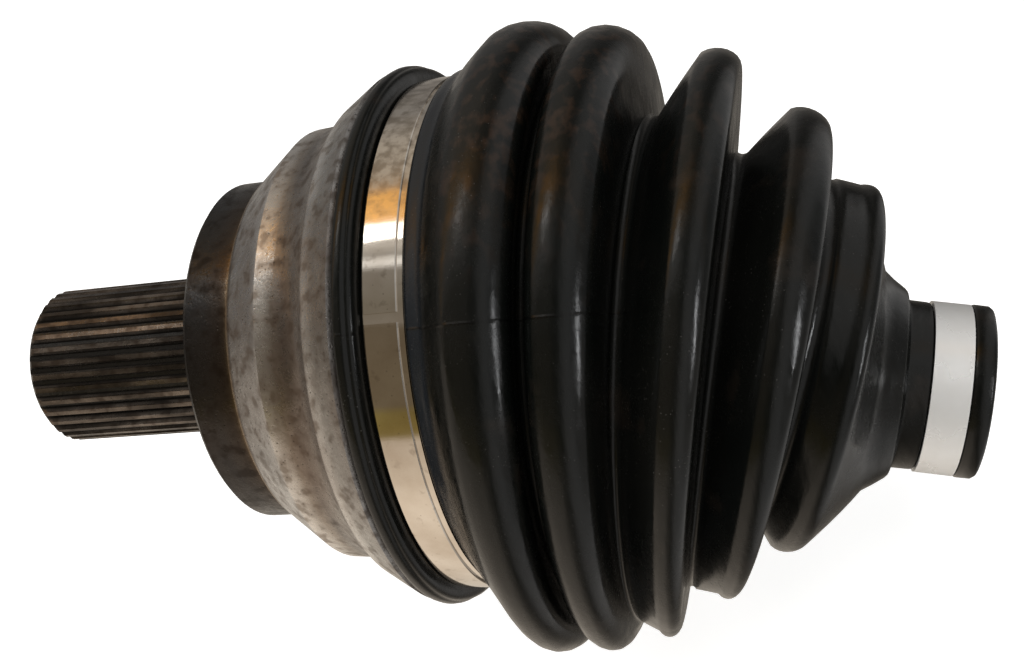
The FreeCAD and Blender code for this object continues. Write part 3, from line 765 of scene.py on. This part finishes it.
@dataclass
class Studio:
    """The plain pale floor, the soft lights and the camera."""

    floor_z: float = -0.0790
    floor_size: float = 6.0
    floor_glow: float = 0.62
    camera_place: Point = (0.12305, -0.19297, 0.14544)
    camera_right: Point = (0.9495, 0.1905, -0.2495)
    camera_up: Point = (0.0793, 0.6231, 0.7781)
    lens: float = 52.73

    def camera(self) -> None:
        """Puts the camera at the photograph's viewing angle."""
        data = bpy.data.cameras.new("camera")
        data.lens = self.lens
        data.sensor_width = 36.0
        data.clip_start = 0.01
        camera = bpy.data.objects.new("camera", data)
        bpy.context.scene.collection.objects.link(camera)
        right = Vector(self.camera_right).normalized()
        up = Vector(self.camera_up)
        up = (up - right * up.dot(right)).normalized()
        back = right.cross(up)
        turn = Matrix((right, up, back)).transposed()
        camera.matrix_world = Matrix.Translation(Vector(self.camera_place)) @ turn.to_4x4()
        bpy.context.scene.camera = camera

    def floor(self) -> None:
        """Lays the floor under the part."""
        Bench.clear()
        bpy.ops.mesh.primitive_plane_add(size=self.floor_size, location=(0, 0, self.floor_z))
        floor = bpy.context.object
        floor.name = "floor"
        g = Surface("floor_white")
        g.set(Base_Color=(0.90, 0.90, 0.90, 1.0), Roughness=0.9)
        glow = g.nodes.new("ShaderNodeEmission")
        g.feed(glow.inputs["Strength"], g.math("MULTIPLY", g.ray("Is Camera Ray"), self.floor_glow))
        both = g.nodes.new("ShaderNodeAddShader")
        g.join(g.shader.outputs["BSDF"], both.inputs[0])
        g.join(glow.outputs["Emission"], both.inputs[1])
        g.join(both.outputs["Shader"], g.output.inputs["Surface"])
        floor.visible_glossy = False
        Bench.paint(floor, g.material)

    def area(self, name: str, place: Point, target: Point, size: tuple[float, float], power: float,
             colour: Colour, mirrored: bool = True) -> None:
        """Adds a soft rectangular light.

        Args:
            name: Name of the light.
            place: Where it stands.
            target: The point it faces.
            size: Width and height.
            power: Watts.
            colour: Its colour.
            mirrored: Whether reflections show it.
        """
        data = bpy.data.lights.new(name, "AREA")
        data.shape = "RECTANGLE"
        data.size, data.size_y = size
        data.energy = power
        data.color = colour
        lamp = bpy.data.objects.new(name, data)
        bpy.context.scene.collection.objects.link(lamp)
        lamp.location = place
        lamp.visible_glossy = mirrored
        lamp.rotation_euler = (Vector(target) - Vector(place)).to_track_quat("-Z", "Y").to_euler()

    @staticmethod
    def degree(angle: float) -> float:
        """Gives the ramp's place for an angle about X, 0 towards the camera's side and 90 up."""
        return (angle + 180.0) / 360.0

    def surround(self) -> None:
        """Makes the world: soft fill, and long horizontal panels that only reflections see."""
        world = bpy.data.worlds.new("studio")
        g = Graph(world, "ShaderNodeOutputWorld", "Generated")
        turn = g.math("ARCTAN2", g.axis("Z"), g.math("MULTIPLY", g.axis("Y"), -1.0))
        place = g.span(turn, -math.pi, math.pi)
        at = self.degree
        panels = g.ramp(place, [
            (0.0, (0.20, 0.19, 0.18)),
            (at(-127), (0.60, 0.54, 0.46)),
            (at(-86), (0.76, 0.66, 0.55)),
            (at(-40), (0.80, 0.69, 0.57)),
            (at(-8), (0.58, 0.50, 0.41)),
            (at(-5), (0.22, 0.165, 0.055)),
            (at(5), (0.20, 0.155, 0.055)),
            (at(8), (0.145, 0.115, 0.075)),
            (at(41), (0.120, 0.095, 0.065)),
            (at(43), (0.20, 0.175, 0.145)),
            (at(52), (0.165, 0.145, 0.115)),
            (at(67), (0.22, 0.20, 0.175)),
            (at(69), (0.85, 0.83, 0.80)),
            (at(71), (0.90, 0.88, 0.85)),
            (at(73), (0.34, 0.32, 0.29)),
            (at(76), (0.48, 0.45, 0.41)),
            (at(81), (0.60, 0.57, 0.53)),
            (at(87.5), (0.84, 0.79, 0.72)),
            (at(88.5), (1.10, 0.60, 0.19)),
            (at(103), (0.85, 0.46, 0.14)),
            (at(105.5), (0.42, 0.36, 0.29)),
            (at(125), (0.40, 0.355, 0.30)),
            (at(150), (0.22, 0.21, 0.20)),
            (1.0, (0.20, 0.19, 0.18)),
        ])
        side = g.ramp(g.span(g.axis("X"), -1.0, 1.0), [
            (0.0, (0.55, 0.55, 0.55)), (0.12, (1.0, 1.0, 1.0)), (0.40, (1.0, 1.0, 1.0)),
            (0.50, (0.45, 0.45, 0.45)), (0.60, (0.14, 0.14, 0.14)), (1.0, (0.10, 0.10, 0.10)),
        ])
        window = g.ramp(g.span(g.axis("X"), -1.0, 1.0), [
            (0.60, (0.0, 0.0, 0.0)), (0.71, (0.44, 0.43, 0.42)), (0.84, (0.48, 0.48, 0.48)),
            (0.92, (0.20, 0.20, 0.20)), (1.0, (0.12, 0.12, 0.12)),
        ])
        seen = g.mix(1.0, g.mix(1.0, panels, side, "MULTIPLY"), window, "ADD")
        fill = g.mix(g.ray("Is Camera Ray"), (0.45, 0.445, 0.435), (1.0, 1.0, 1.0))
        sky = g.nodes.new("ShaderNodeBackground")
        g.feed(sky.inputs["Color"], g.mix(g.ray("Is Glossy Ray"), fill, seen))
        g.join(sky.outputs["Background"], g.output.inputs["Surface"])
        bpy.context.scene.world = world

    def lights(self) -> None:
        """Sets the lamps: two soft ones, and two narrow ones that draw the streaks on the crests."""
        middle = (0.045, 0.0, -0.005)
        self.area("key", (0.10, -0.45, 0.75), middle, (0.55, 0.30), 4.0, (1.0, 0.98, 0.95), False)
        self.area("left", (-0.60, -0.45, 0.30), middle, (0.40, 0.50), 2.0, (1.0, 0.95, 0.88), False)
        self.area("roof", (-0.24, -0.10, 0.72), middle, (0.08, 0.24), 0.2, (1.0, 0.99, 0.97))
        self.area("right", (0.79, -0.26, 0.12), middle, (0.045, 0.36), 1.0, (0.97, 0.98, 1.0))

    def build(self) -> None:
        """Builds the whole studio."""
        self.floor()
        self.surround()
        self.lights()
        self.camera()
        bpy.context.scene.view_settings.view_transform = "Standard"


@dataclass
class Hardware:
    """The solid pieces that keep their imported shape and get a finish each."""

    nodes: dict[str, bpy.types.Object]
    turn_outline: tuple[tuple[float, float], ...] = (
        (37.5, 42.7), (37.5, 42.95), (37.6, 43.04), (42.62, 43.04), (42.75, 42.94), (42.75, 42.7),
    )
    turn_gap: tuple[float, float] = (48.0, 50.0)

    def outer_turn(self, material: bpy.types.Material) -> None:
        """Lays the clamp's outer turn on its inner one, with the gap between its two ends."""
        piece = Bench.lathe("large_clamp_outer_turn", [(x * MM, r * MM) for x, r in self.turn_outline], 180)
        Bench.split(piece, *self.turn_gap)
        Bench.smooth(piece, 30.0)
        Bench.paint(piece, material)
        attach(piece, Body.BELL.value)

    def finishes(self) -> dict[str, Any]:
        """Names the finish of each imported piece."""
        race = PlainFinish("race_ground_steel", (0.46, 0.45, 0.44), (0.36, 0.34, 0.32), 1.0, 0.25)
        spring = PlainFinish("spring_blued_steel", (0.16, 0.15, 0.16), (0.10, 0.09, 0.09), 1.0, 0.35)
        bar = PlainFinish("bar_black_paint", (0.035, 0.034, 0.033), (0.02, 0.02, 0.02), 0.0, 0.42)
        nylon = PlainFinish("washer_nylon", (0.70, 0.66, 0.56), (0.62, 0.58, 0.48), 0.0, 0.5)
        shot = PlainFinish("ball_polished_steel", (0.66, 0.66, 0.67), (0.60, 0.60, 0.61), 1.0, 0.1)
        band = PolishedBand()
        # The small clamp is painted near-white: a painted highlight standing in for its shine blown out to
        # white.
        painted_glare_finish = PlainFinish("small_clamp_painted_glare", (0.93, 0.93, 0.92), (0.84, 0.83, 0.81), 0.45, 0.26)
        table: dict[str, Any] = {
            "joint_bell": BellFinish(), "ball_cage": race, "inner_race": race, "shaft_bar": bar,
            "race_circlip": spring, "dished_washer": spring, "thrust_washer": nylon,
            "large_clamp": band, "small_clamp": painted_glare_finish,
        }
        for name in self.nodes:
            if name.startswith("ball_") and name != "ball_cage":
                table[name] = shot
        return table

    def build(self) -> None:
        """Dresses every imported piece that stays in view."""
        made: dict[int, bpy.types.Material] = {}
        for name, finish in self.finishes().items():
            if id(finish) not in made:
                made[id(finish)] = finish.material()
            Bench.paint(self.nodes[name], made[id(finish)])
            Bench.smooth(self.nodes[name], 30.0)
            LOG.info("dressed %s with %s", name, finish.name)
            if name == "large_clamp":
                self.outer_turn(made[id(finish)])


def main() -> None:
    """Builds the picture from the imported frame."""
    logging.basicConfig(level=logging.INFO, format="%(name)s: %(message)s")
    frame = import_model()
    Studio().build()
    boot = Boot().build()
    LOG.info("boot: %d faces", len(boot.data.polygons))
    Hardware(frame["nodes"]).build()


if __name__ == "__main__":
    main()
